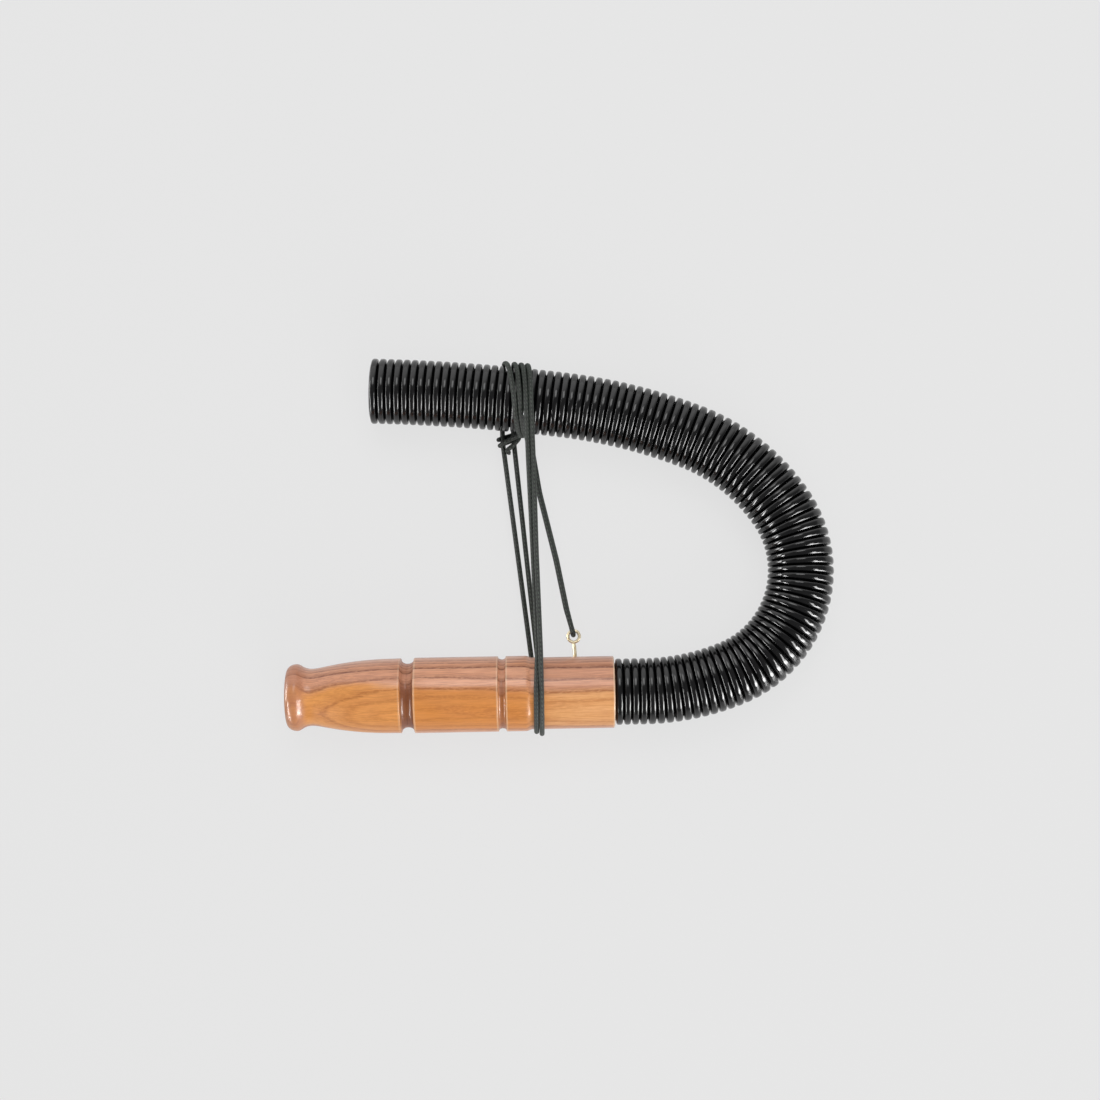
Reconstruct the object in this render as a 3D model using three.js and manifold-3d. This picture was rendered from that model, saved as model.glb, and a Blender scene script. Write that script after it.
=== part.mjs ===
// Wild boar call: a turned wooden tube with a reed inside, a ribbed hose that deepens the sound, and a
// lanyard. Millimetres, +Z up. The call lies flat: the wooden body runs along +X from the mouth face at
// x = 0, the hose leaves it at the far end, bends round through +Y and comes back over the body. While the
// pieces are made, the origin is the middle of the mouth face; the last lines move it to the underside.
import * as THREE from 'three';
import { mergeVertices } from 'three/addons/utils/BufferGeometryUtils.js';
import Module from 'manifold-3d';

const wasm = await Module();
wasm.setup();

// Clearance left between pieces that touch on the real call, and how far a cut runs past the face it opens
const fit = 0.3;
const cutPast = 1;
const turnedSides = 40;
const smallSides = 32;
const wireSides = 8;

// Turned outside, as stations along the axis and radii
const bodyLength = 140;
const lipRadius = 14.3;
const lipStation = 4.1;
const lipRound = 3.1;
const neckRadius = 12.2;
const neckStation = 10.9;
const swellRadius = 15.9;
const swellStation = 46;
const jointStation = 51.7;
const jointGrooveWidth = 5.6;
const jointGrooveDepth = 2.4;
const mainRadius = 16.1;
const narrowGrooveStation = 92.1;
const narrowGrooveWidth = 3.9;
const narrowGrooveDepth = 1.35;
const shoulderStation = 102.4;
const shoulderRound = 2.5;
const collarRadius = 15.35;
const arris = 0.6;
// How far each sweep runs on level where it leaves and where it arrives, as shares of its length
const lipSweep = { leave: 0.32, arrive: 0.63 };
const neckSweep = { leave: 0.11, arrive: 0.6 };
const shoulderSweep = { leave: 0.52, arrive: 0.4 };

// Bores, the mouthpiece's tenon and its cork
const mouthBoreRadius = 6;
const mouthChamfer = 0.8;
const tenonRadius = 10.2;
const tenonLength = 13;
const socketSpare = 1.5;
const corkThickness = 1.2;
const corkLength = 9;
const corkInset = 2;
const corkStandOut = 0.4;
const chamberRadius = 8.6;
const chamberEnd = 118;
const soundBoreRadius = 6;
const spigotLength = 25;

// Reed insert
const baseLength = 17.5;
const baseBoreRadius = 5.5;
const sealSection = 0.8;
const sealStation = 4.5;
const boardLength = 50;
const tableHeight = 0.6;
const channelWidth = 4.4;
const channelDepth = 3.2;
const channelTipWall = 3;
const facingLength = 25;
const facingDrop = 0.9;
const reedThickness = 0.4;
const reedWidth = 8;
const reedLength = 44;
const wedgeLength = 13.5;
const bandWidth = 1.8;
const bandThickness = 1.1;
const bandStation = 3.2;

// Ribbed hose: outside, valley and bore radii at the corners of its eight-sided rings
const hoseSides = 8;
const hoseRadius = 14.15;
const hoseValleyRadius = 12.1;
const hoseBoreRadius = 10.9;
const ribCount = 96;
const ribsPerBoreRing = 5;
const hoseStraight = 2 * hoseRadius;
const firstBendRadius = 52;
const firstBendSweep = 126.4;
const secondBendRadius = 86.5;
const secondBendSweep = 38.2;
const returnBendRadius = 468;
const returnBendSweep = 12.3;

// Screw eye
const eyeStation = 123.1;
const eyeHeight = 8.8;
const eyeRingRadius = 2.42;
const eyeWireRadius = 0.65;
const eyeShankRadius = 0.85;
const eyeShankDepth = 8;

// Lanyard, and its knot round the rear strands
const cordRadius = 1;
const cordSides = 6;
const stepsPerTurn = 24;
const bightSteps = 8;
const windingFromEnd = 65;
const rearSpacing = 3.8;
const knotPitch = 1.9;
const knotSlant = 0.35;

const materials = {
  wood: new THREE.MeshStandardMaterial({ color: 0xb58263, roughness: 0.38, metalness: 0 }),
  cork: new THREE.MeshStandardMaterial({ color: 0xb08a5a, roughness: 0.9, metalness: 0 }),
  hose: new THREE.MeshStandardMaterial({ color: 0x17181a, roughness: 0.42, metalness: 0 }),
  brass: new THREE.MeshStandardMaterial({ color: 0xc9ae74, roughness: 0.3, metalness: 0.9 }),
  cord: new THREE.MeshStandardMaterial({ color: 0x28332c, roughness: 0.85, metalness: 0 }),
  insert: new THREE.MeshStandardMaterial({ color: 0x2b2b2d, roughness: 0.5, metalness: 0 }),
  reed: new THREE.MeshStandardMaterial({ color: 0xe4e0d2, roughness: 0.35, metalness: 0 }),
  rubber: new THREE.MeshStandardMaterial({ color: 0x1b1b1b, roughness: 0.8, metalness: 0 }),
};

const rad = THREE.MathUtils.degToRad;
const group = new THREE.Group();

function addPiece(name, geometry, material) {
  const mesh = new THREE.Mesh(geometry, material);
  mesh.name = name;
  group.add(mesh);
  return mesh;
}

// A turned piece: outline of points (station, radius), outside from the mouth end first and the inside back
function turned(outline, sides = turnedSides) {
  const profile = outline.map(([station, radius]) => new THREE.Vector2(radius, station));
  profile.push(profile[0].clone());
  return new THREE.LatheGeometry(profile, sides).rotateZ(-Math.PI / 2);
}

// Points of a smooth stretch between two places of the outline, level at both ends
function sweepLine(from, to, sweep, steps) {
  const length = to[0] - from[0];
  const curve = new THREE.CubicBezierCurve(
    new THREE.Vector2(...from),
    new THREE.Vector2(from[0] + sweep.leave * length, from[1]),
    new THREE.Vector2(to[0] - sweep.arrive * length, to[1]),
    new THREE.Vector2(...to),
  );
  return curve.getPoints(steps).map((point) => [point.x, point.y]);
}

// Points of an elliptical arc in the outline, from one angle to another in degrees
function arcLine(station, radius, alongSize, acrossSize, from, to, steps) {
  const points = [];
  for (let i = 0; i <= steps; i++) {
    const angle = rad(from + ((to - from) * i) / steps);
    points.push([station + alongSize * Math.cos(angle), radius + acrossSize * Math.sin(angle)]);
  }
  return points;
}

function toSolid(geometry) {
  const plain = geometry.clone();
  plain.deleteAttribute('normal');
  plain.deleteAttribute('uv');
  const merged = mergeVertices(plain, 1e-4);
  return new wasm.Manifold(new wasm.Mesh({
    numProp: 3,
    vertProperties: new Float32Array(merged.attributes.position.array),
    triVerts: new Uint32Array(merged.index.array),
  }));
}

function toGeometry(solid) {
  const mesh = solid.getMesh();
  const geometry = new THREE.BufferGeometry();
  geometry.setAttribute('position', new THREE.BufferAttribute(mesh.vertProperties, 3));
  geometry.setIndex(new THREE.BufferAttribute(mesh.triVerts, 1));
  geometry.computeVertexNormals();
  return geometry;
}

// Closed skin over a row of rings, each with the same number of points. With endless set, the last ring
// joins the first; otherwise both ends are closed flat.
function skinRings(rings, endless = false) {
  const sides = rings[0].length;
  const indices = [];
  const joins = endless ? rings.length : rings.length - 1;
  for (let i = 0; i < joins; i++) {
    const near = i * sides;
    const far = ((i + 1) % rings.length) * sides;
    for (let k = 0; k < sides; k++) {
      const next = (k + 1) % sides;
      indices.push(near + k, near + next, far + next, near + k, far + next, far + k);
    }
  }
  if (!endless) {
    const last = (rings.length - 1) * sides;
    for (let k = 1; k < sides - 1; k++) {
      indices.push(0, k + 1, k, last, last + k, last + k + 1);
    }
  }
  const corners = rings.flat().flatMap((point) => [point.x, point.y, point.z]);
  const geometry = new THREE.BufferGeometry();
  geometry.setAttribute('position', new THREE.Float32BufferAttribute(corners, 3));
  geometry.setIndex(indices);
  geometry.computeVertexNormals();
  return geometry;
}

// Round tube through a row of points. Its rings keep one corner towards sideways, so that they don't twist.
function tubeThrough(points, radius, sides, sideways, lowest = -Infinity) {
  const rings = points.map((point, i) => {
    const before = points[Math.max(i - 1, 0)];
    const after = points[Math.min(i + 1, points.length - 1)];
    const along = after.clone().sub(before).normalize();
    const right = sideways.clone().addScaledVector(along, -sideways.dot(along)).normalize();
    const up = along.clone().cross(right);
    const ring = [];
    for (let k = 0; k < sides; k++) {
      const angle = (2 * Math.PI * k) / sides;
      const corner = point.clone()
        .addScaledVector(right, radius * Math.cos(angle))
        .addScaledVector(up, radius * Math.sin(angle));
      corner.z = Math.max(corner.z, lowest);
      ring.push(corner);
    }
    return ring;
  });
  return skinRings(rings);
}

// Mouthpiece, with the first half of the wide groove and the tenon behind it
const grooveRimRadius = (swellRadius + mainRadius) / 2;
const grooveHalf = jointGrooveWidth / 2;
const corkStart = jointStation + corkInset;
const corkEnd = corkStart + corkLength;
const corkSeatRadius = tenonRadius + corkStandOut - corkThickness - fit;
const tenonEnd = jointStation + tenonLength;
const mouthpieceOutline = [
  [0, mouthBoreRadius + mouthChamfer],
  ...arcLine(lipStation, lipRadius - lipRound, lipStation, lipRound, 180, 90, 7),
  ...sweepLine([lipStation, lipRadius], [neckStation, neckRadius], lipSweep, 7).slice(1),
  ...sweepLine([neckStation, neckRadius], [swellStation, swellRadius], neckSweep, 12).slice(1),
  ...arcLine(jointStation, grooveRimRadius, grooveHalf, -jointGrooveDepth, 180, 90, 6),
  [jointStation, tenonRadius],
  [corkStart, tenonRadius],
  [corkStart, corkSeatRadius],
  [corkEnd + 2 * fit, corkSeatRadius],
  [corkEnd + 2 * fit, tenonRadius],
  [tenonEnd - arris, tenonRadius],
  [tenonEnd, tenonRadius - arris],
  [tenonEnd, mouthBoreRadius],
  [mouthChamfer, mouthBoreRadius],
];
addPiece('mouthpiece', turned(mouthpieceOutline), materials.wood);

const corkOuterRadius = corkSeatRadius + fit + corkThickness;
const corkOutline = [
  [corkStart + fit, corkSeatRadius + fit],
  [corkStart + fit, corkOuterRadius],
  [corkStart + fit + corkLength, corkOuterRadius],
  [corkStart + fit + corkLength, corkSeatRadius + fit],
];
addPiece('tenon_cork', turned(corkOutline), materials.cork);

// Body: socket for the tenon, chamber for the reed insert, sound bore and the spigot that carries the hose
const socketRadius = corkOuterRadius + fit;
const socketEnd = tenonEnd + socketSpare;
const bodyStart = jointStation + fit;
const spigotRadius = hoseBoreRadius * Math.cos(Math.PI / hoseSides) - fit;
const spigotEnd = bodyLength + spigotLength;
const grooveFromBody = 90 - THREE.MathUtils.radToDeg(Math.asin(fit / grooveHalf));
const collarStart = shoulderStation + shoulderRound;
const bodyOutline = [
  [bodyStart, socketRadius],
  ...arcLine(jointStation, grooveRimRadius, grooveHalf, -jointGrooveDepth, grooveFromBody, 0, 6),
  ...arcLine(narrowGrooveStation, mainRadius, narrowGrooveWidth / 2, -narrowGrooveDepth, 180, 0, 8),
  [shoulderStation, mainRadius],
  ...sweepLine([shoulderStation, mainRadius], [collarStart, collarRadius], shoulderSweep, 4).slice(1),
  [bodyLength - arris, collarRadius],
  [bodyLength, collarRadius - arris],
  [bodyLength, spigotRadius],
  [spigotEnd - arris, spigotRadius],
  [spigotEnd, spigotRadius - arris],
  [spigotEnd, soundBoreRadius],
  [chamberEnd, soundBoreRadius],
  [chamberEnd, chamberRadius],
  [socketEnd, chamberRadius],
  [socketEnd, socketRadius],
];

// The screw eye's hole runs down from the collar's upper side, and its eye lies in the plane of the call
const eyeHoleRadius = eyeShankRadius + fit;
const eyeCentreHeight = collarRadius + eyeHeight;
const eyeHoleBottom = collarRadius - eyeShankDepth - fit;
const eyeHoleTop = collarRadius + cutPast;
const eyeHole = new THREE.CylinderGeometry(eyeHoleRadius, eyeHoleRadius, eyeHoleTop - eyeHoleBottom, 12)
  .translate(eyeStation, (eyeHoleTop + eyeHoleBottom) / 2, 0);
addPiece('call_body', toGeometry(toSolid(turned(bodyOutline)).subtract(toSolid(eyeHole))), materials.wood);

const shankTop = eyeCentreHeight - eyeRingRadius;
const shankBottom = collarRadius - eyeShankDepth;
const shankLength = shankTop - shankBottom;
const eyeShank = new THREE.CylinderGeometry(eyeShankRadius, eyeShankRadius, shankLength, wireSides)
  .translate(eyeStation, (shankTop + shankBottom) / 2, 0);
const eyeRing = new THREE.TorusGeometry(eyeRingRadius, eyeWireRadius, wireSides, 24)
  .translate(eyeStation, eyeCentreHeight, 0);
addPiece('screw_eye', toGeometry(toSolid(eyeShank).add(toSolid(eyeRing))), materials.brass);

// Reed insert. Its base sits against the end of the chamber.
const baseEnd = chamberEnd - fit;
const baseStart = baseEnd - baseLength;
const baseRadius = chamberRadius - fit;
const sealRadius = baseRadius - sealSection;
const sealFloorRadius = sealRadius - sealSection - fit;
const sealCentre = baseStart + sealStation;
const sealHalf = sealSection + fit;
const baseOutline = [
  [baseStart, baseBoreRadius],
  [baseStart, baseRadius],
  [sealCentre - sealHalf, baseRadius],
  [sealCentre - sealHalf, sealFloorRadius],
  [sealCentre + sealHalf, sealFloorRadius],
  [sealCentre + sealHalf, baseRadius],
  [baseEnd, baseRadius],
  [baseEnd, baseBoreRadius],
];
addPiece('insert_base', turned(baseOutline, smallSides), materials.insert);
const seal = new THREE.TorusGeometry(sealRadius, sealSection, wireSides, smallSides)
  .rotateY(Math.PI / 2).translate(sealCentre, 0, 0);
addPiece('base_ring', seal, materials.rubber);

// A stretch of round bar along X, cut level above or below a height
const insertRadius = baseBoreRadius - fit;
function barSection(radius, height, above) {
  const start = Math.asin(height / radius);
  const shape = new THREE.Shape();
  if (above) {
    shape.absarc(0, 0, radius, start, Math.PI - start, false);
  } else {
    shape.absarc(0, 0, radius, Math.PI - start, 2 * Math.PI + start, false);
  }
  shape.closePath();
  return shape;
}
// Stands a shape drawn in (across, up) on the stretch of the axis from start, length long
function alongAxis(shape, start, length) {
  return new THREE.ExtrudeGeometry(shape, { depth: length, bevelEnabled: false, curveSegments: 10 })
    .rotateX(Math.PI / 2).rotateZ(Math.PI / 2).translate(start, 0, 0);
}
// Stands a shape drawn in (along, up) across the axis, width wide
function acrossAxis(shape, width) {
  return new THREE.ExtrudeGeometry(shape, { depth: width, bevelEnabled: false })
    .rotateX(Math.PI / 2).translate(0, width / 2, 0);
}

const boardEnd = baseEnd;
const boardStart = boardEnd - boardLength;
const facingSteps = 8;
const facing = new THREE.Shape();
facing.moveTo(boardStart - cutPast, tableHeight + cutPast);
facing.lineTo(boardStart - cutPast, tableHeight - facingDrop);
for (let i = 0; i <= facingSteps; i++) {
  const share = 1 - i / facingSteps;
  facing.lineTo(boardStart + facingLength * (1 - share), tableHeight - facingDrop * share * share);
}
facing.lineTo(boardStart + facingLength, tableHeight + cutPast);
facing.closePath();
const channelStart = boardStart + channelTipWall;
const channel = new THREE.Shape();
channel.moveTo(channelStart, tableHeight - channelDepth / 2);
channel.lineTo(channelStart + channelDepth / 2, tableHeight - channelDepth);
channel.lineTo(boardEnd + cutPast, tableHeight - channelDepth);
channel.lineTo(boardEnd + cutPast, tableHeight + cutPast);
channel.lineTo(channelStart, tableHeight + cutPast);
channel.closePath();
const board = toSolid(alongAxis(barSection(insertRadius, tableHeight, false), boardStart, boardLength))
  .subtract(toSolid(acrossAxis(facing, 4 * insertRadius)))
  .subtract(toSolid(acrossAxis(channel, channelWidth)));
addPiece('reed_board', toGeometry(board), materials.insert);

const reedEnd = baseStart + wedgeLength;
const reedLow = tableHeight + fit;
const reed = new THREE.BoxGeometry(reedLength, reedWidth, reedThickness)
  .translate(reedEnd - reedLength / 2, 0, reedLow + reedThickness / 2);
addPiece('reed', reed, materials.reed);

const wedgeLow = reedLow + reedThickness + fit;
const wedgeSection = barSection(insertRadius, wedgeLow, true);
addPiece('reed_wedge', alongAxis(wedgeSection, baseStart, wedgeLength), materials.cork);

const bandOuter = barSection(insertRadius + fit + bandThickness, wedgeLow + bandThickness, false);
bandOuter.holes.push(new THREE.Path(barSection(insertRadius + fit, wedgeLow, false).getPoints(10)));
const bandStart = baseStart - bandStation - bandWidth;
addPiece('tuning_ring', alongAxis(bandOuter, bandStart, bandWidth), materials.rubber);

// Hose: centreline of straights and bends in the plane of the axis, from the collar's end face
const hoseStart = bodyLength + fit;
const hoseBends = [
  { radius: firstBendRadius, sweep: firstBendSweep },
  { radius: secondBendRadius, sweep: secondBendSweep },
  { radius: returnBendRadius, sweep: returnBendSweep },
];
const hoseLength = hoseBends.reduce((sum, bend) => sum + bend.radius * rad(bend.sweep), 2 * hoseStraight);
function hosePlace(distance) {
  let left = distance - hoseStraight;
  let heading = 0;
  const centre = new THREE.Vector3(hoseStart + Math.min(distance, hoseStraight), 0, 0);
  for (const { radius, sweep } of hoseBends) {
    const turn = Math.min(Math.max(left / radius, 0), rad(sweep));
    centre.x += radius * (Math.sin(heading + turn) - Math.sin(heading));
    centre.y -= radius * (Math.cos(heading + turn) - Math.cos(heading));
    heading += turn;
    left -= radius * rad(sweep);
  }
  const beyond = Math.max(left, 0);
  centre.x += beyond * Math.cos(heading);
  centre.y += beyond * Math.sin(heading);
  const outward = new THREE.Vector3(Math.sin(heading), -Math.cos(heading), 0);
  return { centre, outward };
}
// Point beside the hose's centreline: angle 0 is up, 90 degrees the outer side of the bend
const upward = new THREE.Vector3(0, 0, 1);
function besideHose(distance, radius, angle) {
  const { centre, outward } = hosePlace(distance);
  return centre
    .addScaledVector(outward, radius * Math.sin(angle))
    .addScaledVector(upward, radius * Math.cos(angle));
}
function hoseRing(distance, radius) {
  const ring = [];
  for (let k = 0; k < hoseSides; k++) {
    ring.push(besideHose(distance, radius, (2 * Math.PI * k) / hoseSides));
  }
  return ring;
}
const ribPitch = hoseLength / ribCount;
const hoseRings = [hoseRing(0, hoseValleyRadius)];
for (let rib = 0; rib < ribCount; rib++) {
  hoseRings.push(hoseRing((rib + 0.5) * ribPitch, hoseRadius));
  hoseRings.push(hoseRing((rib + 1) * ribPitch, hoseValleyRadius));
}
for (let rib = ribCount; rib > 0; rib = rib - ribsPerBoreRing) {
  hoseRings.push(hoseRing(rib * ribPitch, hoseBoreRadius));
}
hoseRings.push(hoseRing(0, hoseBoreRadius));
addPiece('hose', skinRings(hoseRings, true), materials.hose);

// Lanyard: one cord, doubled at the screw eye. Each half leads from the eye under the hose, over it, down in
// front of hose and body, under the body and back up behind, under and over the hose again, and down to the
// knot. The call lies on the cord under its body, which is pressed flat there by a tenth of its diameter.
const windingPlace = hoseLength - windingFromEnd;
const winding = hosePlace(windingPlace).centre;
const wrapRadius = hoseRadius + fit + cordRadius;
const collarWrapRadius = collarRadius + fit + cordRadius;
const undersideDepth = collarWrapRadius + cordRadius - 0.2 * cordRadius;
const wrapStep = 360 / stepsPerTurn;
const rearWrapFrom = -100;
const rearWrapTo = 175;

// Wrap round the hose. Shifts are its places along the hose, towards the wood, at the inner side of the
// bend, in front, at the outer side and behind.
function overHose(shifts, from, to) {
  const points = [];
  const steps = Math.round(Math.abs(to - from) / wrapStep);
  for (let i = 0; i <= steps; i++) {
    const angle = from + ((to - from) * i) / steps;
    const quarter = Math.min(Math.max(Math.floor(angle / 90), -1), 1);
    const share = angle / 90 - quarter;
    const shift = shifts[quarter + 1] * (1 - share) + shifts[quarter + 2] * share;
    points.push(besideHose(windingPlace - shift, wrapRadius, rad(angle)));
  }
  return points;
}
// Wrap from under the body, round its lower side, to its front
function underBody(behindStation, frontStation) {
  const points = [];
  const steps = Math.round(180 / wrapStep);
  for (let i = 0; i <= steps; i++) {
    const share = i / steps;
    const angle = Math.PI * (share - 1);
    points.push(new THREE.Vector3(
      behindStation + (frontStation - behindStation) * share,
      collarWrapRadius * Math.sin(angle),
      collarWrapRadius * Math.cos(angle),
    ));
  }
  return points;
}

// The doubled cord passes through the eye from above and returns below the ring's wire
const eyeCentre = new THREE.Vector3(eyeStation, eyeCentreHeight, 0);
const leadEnd = besideHose(windingPlace, wrapRadius, Math.PI);
const leadFlat = leadEnd.clone().sub(eyeCentre).setZ(0).normalize();
const eyeWire = eyeCentre.clone().addScaledVector(leadFlat, eyeRingRadius);
const bightRadius = eyeWireRadius + fit + cordRadius;
const bight = [];
for (let i = 0; i <= bightSteps; i++) {
  const angle = (Math.PI * i) / bightSteps;
  bight.push(eyeWire.clone()
    .addScaledVector(leadFlat, -bightRadius * Math.sin(angle))
    .addScaledVector(upward, bightRadius * Math.cos(angle)));
}

// Chosen points of the two strands, in millimetres from the mouth face or, for the tails, from the winding
const knotCentre = winding.clone().add(new THREE.Vector3(-4.1, -16.2, -13.9));
const behindLowest = 1.5;
const strands = [
  {
    over: [1, -2.8, -7.25, -8.1],
    knotPass: -rearSpacing / 2,
    body: { behind: 105.7, front: 106.4 },
    frontPoints: [[105.05, 55.4, 16.1], [104.5, 96.1, 15.7]],
    overAgain: [5.8, 2.7, -0.3, -0.8],
    lead: [[108.2, 88, -6.5], [115.2, 57.5, -1.4], [120.2, 36, 1.4]],
    tail: [[-0.05, -15.15, -5.1], [-0.25, -15.25, -7.2]],
  },
  {
    over: [3.8, 0.2, -3.15, -3.9],
    knotPass: rearSpacing / 2,
    body: { behind: 108.25, front: 108.9 },
    frontPoints: [[107.5, 55.4, 16.1], [106.95, 96.1, 15.7]],
    overAgain: [8.5, 5.3, 2.55, 1.95],
    lead: [[110.9, 88, -7.6], [118, 57.5, -3.8], [122.1, 36, -2.2]],
    tail: [[2.65, -15.4, -5.1], [2.4, -15.7, -7.2]],
  },
];
function strandRoute(strand) {
  const behind = new THREE.Vector3(strand.body.behind, behindLowest, -collarWrapRadius);
  return [
    ...strand.tail.map((point) => winding.clone().add(new THREE.Vector3(...point))).reverse(),
    ...overHose(strand.over, rearWrapFrom, rearWrapTo),
    knotCentre.clone().add(new THREE.Vector3(strand.knotPass, 0, 0)),
    behind,
    ...underBody(strand.body.behind, strand.body.front),
    ...strand.frontPoints.map((point) => new THREE.Vector3(...point)),
    ...overHose(strand.overAgain, 0, 180),
    ...strand.lead.map((point) => new THREE.Vector3(...point)),
  ];
}
const cordRoute = [...strandRoute(strands[0]), ...bight, ...strandRoute(strands[1]).reverse()];

// Length of the cord, and the least gap between stretches of it that are not next to each other
function measureCord(route, radius) {
  const samples = [];
  const spacing = radius / 2;
  let length = 0;
  for (let i = 1; i < route.length; i++) {
    const stretch = route[i].distanceTo(route[i - 1]);
    const steps = Math.ceil(stretch / spacing);
    for (let k = 0; k < steps; k++) {
      const point = route[i - 1].clone().lerp(route[i], k / steps);
      samples.push({ point, at: length + (stretch * k) / steps });
    }
    length += stretch;
  }
  let least = Infinity;
  for (let i = 0; i < samples.length; i++) {
    for (let k = i + 1; k < samples.length; k++) {
      if (samples[k].at - samples[i].at > 5 * radius) {
        least = Math.min(least, samples[i].point.distanceTo(samples[k].point));
      }
    }
  }
  return { length, gap: least - 2 * radius };
}
const cord = measureCord(cordRoute, cordRadius);
console.log(`lanyard: ${cord.length.toFixed(0)} mm long, least gap to itself ${cord.gap.toFixed(2)} mm`);
const acrossCall = new THREE.Vector3(1, 0, 0);
const lanyard = tubeThrough(cordRoute, cordRadius, cordSides, acrossCall, -undersideDepth);
addPiece('lanyard', lanyard, materials.cord);

// Knot: the two ends wound twice round the rear strands, with a cut end each
const knotLoopRadius = 2 * cordRadius + fit;
function knotTurn(offset) {
  const points = [];
  const half = rearSpacing / 2;
  const steps = 6;
  for (let side = -1; side <= 1; side += 2) {
    for (let i = 0; i <= steps; i++) {
      const angle = Math.PI * (i / steps + (side < 0 ? 0 : 1));
      const across = side * half - knotLoopRadius * Math.sin(angle);
      points.push(knotCentre.clone().add(new THREE.Vector3(
        across,
        offset - (knotPitch * points.length) / (2 * steps + 1) + knotSlant * across,
        knotLoopRadius * Math.cos(angle),
      )));
    }
  }
  return points;
}
const knotPieces = [
  knotTurn(knotPitch),
  knotTurn(0),
  [[-0.28, -15.27, -7.5], [-0.7, -15.1, -9.6], [-2.2, -13.7, -11.6], [-6, -15, -11.6]],
  [[2.37, -15.75, -7.5], [1.6, -16, -9.6], [-2.2, -15.6, -11.6], [-6, -17, -11.6]],
  [[-5.8, -15.2, -11.6], [-7.8, -15.3, -11.5], [-10.6, -14.6, -11.9]],
  [[-6, -17.2, -11.6], [-5, -18.6, -11.4], [-4.4, -20.4, -11.3]],
].map((points) => points.map((p) => (p.isVector3 ? p : winding.clone().add(new THREE.Vector3(...p)))));
const acrossKnot = new THREE.Vector3(0, 1, 0.2).normalize();
const knot = knotPieces
  .map((points) => toSolid(tubeThrough(points, cordRadius, cordSides, acrossKnot)))
  .reduce((whole, piece) => whole.add(piece));
addPiece('lanyard_knot', toGeometry(knot), materials.cord);

// The origin is the middle of the box round the call, at its underside
const box = new THREE.Box3().setFromObject(group);
const centre = box.getCenter(new THREE.Vector3());
group.position.set(-centre.x, -centre.y, -box.min.z);

export default group;
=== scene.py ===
# %% [markdown]
# # A wild boar call
# The call is a turned wooden tube with a reed inside. A ribbed plastic hose deepens its sound, bends back
# over the wood and is held there by a doubled cord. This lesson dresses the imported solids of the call: it
# keeps their sizes and places, and gives each visible piece its real surface.

# %% The fixed frame
import math
from collections import Counter

import bpy
from mathutils import Euler, Matrix, Vector


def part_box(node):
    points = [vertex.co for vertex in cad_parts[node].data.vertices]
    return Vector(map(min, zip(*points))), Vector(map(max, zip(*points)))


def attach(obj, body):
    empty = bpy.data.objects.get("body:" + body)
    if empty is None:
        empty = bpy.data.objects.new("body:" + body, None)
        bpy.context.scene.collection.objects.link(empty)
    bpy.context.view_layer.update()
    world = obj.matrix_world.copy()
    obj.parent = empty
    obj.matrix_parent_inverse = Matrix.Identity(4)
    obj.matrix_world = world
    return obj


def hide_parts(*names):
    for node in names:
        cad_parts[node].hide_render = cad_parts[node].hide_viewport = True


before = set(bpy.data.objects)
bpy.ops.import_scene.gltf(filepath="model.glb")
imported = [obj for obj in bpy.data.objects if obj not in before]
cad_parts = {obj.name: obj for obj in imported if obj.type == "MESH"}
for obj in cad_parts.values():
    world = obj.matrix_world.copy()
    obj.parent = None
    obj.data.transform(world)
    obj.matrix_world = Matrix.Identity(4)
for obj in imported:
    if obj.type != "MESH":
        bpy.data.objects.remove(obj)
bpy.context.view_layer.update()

# %% [markdown]
# Sizes below are millimetres along the wooden body. The mouth face is station 0, "across" points from the
# body's axis towards the hose's returning run, and "up" is height over that axis. All are counted from the
# mouthpiece's own box, not from the room's origin, so that new pieces land where the solids are.

# %% Places on the call
MM = 0.001
mouth_low, mouth_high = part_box("mouthpiece")
mouth_middle = (mouth_low + mouth_high) / 2


def place(station, across=0.0, up=0.0):
    return Vector((mouth_low.x, mouth_middle.y, mouth_middle.z)) + Vector((station, across, up)) * MM


axis_start = place(0)
print("the axis starts at", tuple(round(1000 * value, 2) for value in axis_start))

# %% [markdown]
# The camera comes first. The photograph looks down on the call from well above, leans a little towards the
# wooden body, and is turned by one degree, so the body seems to rise to the right. A camera that tracks an
# object would stay level, so the three directions are worked out and set as a matrix.

# %% Camera
camera_distance = 830 * MM
camera_tilt = math.radians(6)
camera_roll = math.radians(1.04)
aim = place(113.6, 61.6)
image_up = Vector((math.sin(camera_roll), math.cos(camera_roll), 0))
image_right = Vector((math.cos(camera_roll), -math.sin(camera_roll), 0))
backward = Vector((0, 0, 1)) * math.cos(camera_tilt) - image_up * math.sin(camera_tilt)
turn = Matrix((image_right, backward.cross(image_right), backward)).transposed().to_4x4()

bpy.ops.object.camera_add()
camera = bpy.context.object
camera.matrix_world = Matrix.Translation(aim + backward * camera_distance) @ turn
camera.data.sensor_width = 36
camera.data.lens = 62.87
bpy.context.scene.camera = camera
bpy.context.scene.view_settings.view_transform = "Standard"
print("camera at", [round(value, 3) for value in camera.matrix_world.translation], "m")

# %% [markdown]
# The cord and the hose both follow the hose's middle line, so this comes next. A hose that is bent by hand
# has no single radius. A Bezier curve could follow it too, but its length would have to be measured. So the
# line is a short straight where it sits on the wood and five arcs, each one starting in the direction in
# which the last one ends: its length is a sum, and every place on it a short formula.

# %% The hose's middle line
hose_start = 140.3
hose_straight = 12.4
hose_arcs = [(105.2, 21.3), (48.3, 101.7), (83.2, 34.9), (230.1, 13.9), (826.8, 5.9)]
hose_crest = 14.2
hose_length = hose_straight + sum(radius * math.radians(sweep) for radius, sweep in hose_arcs)


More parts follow.
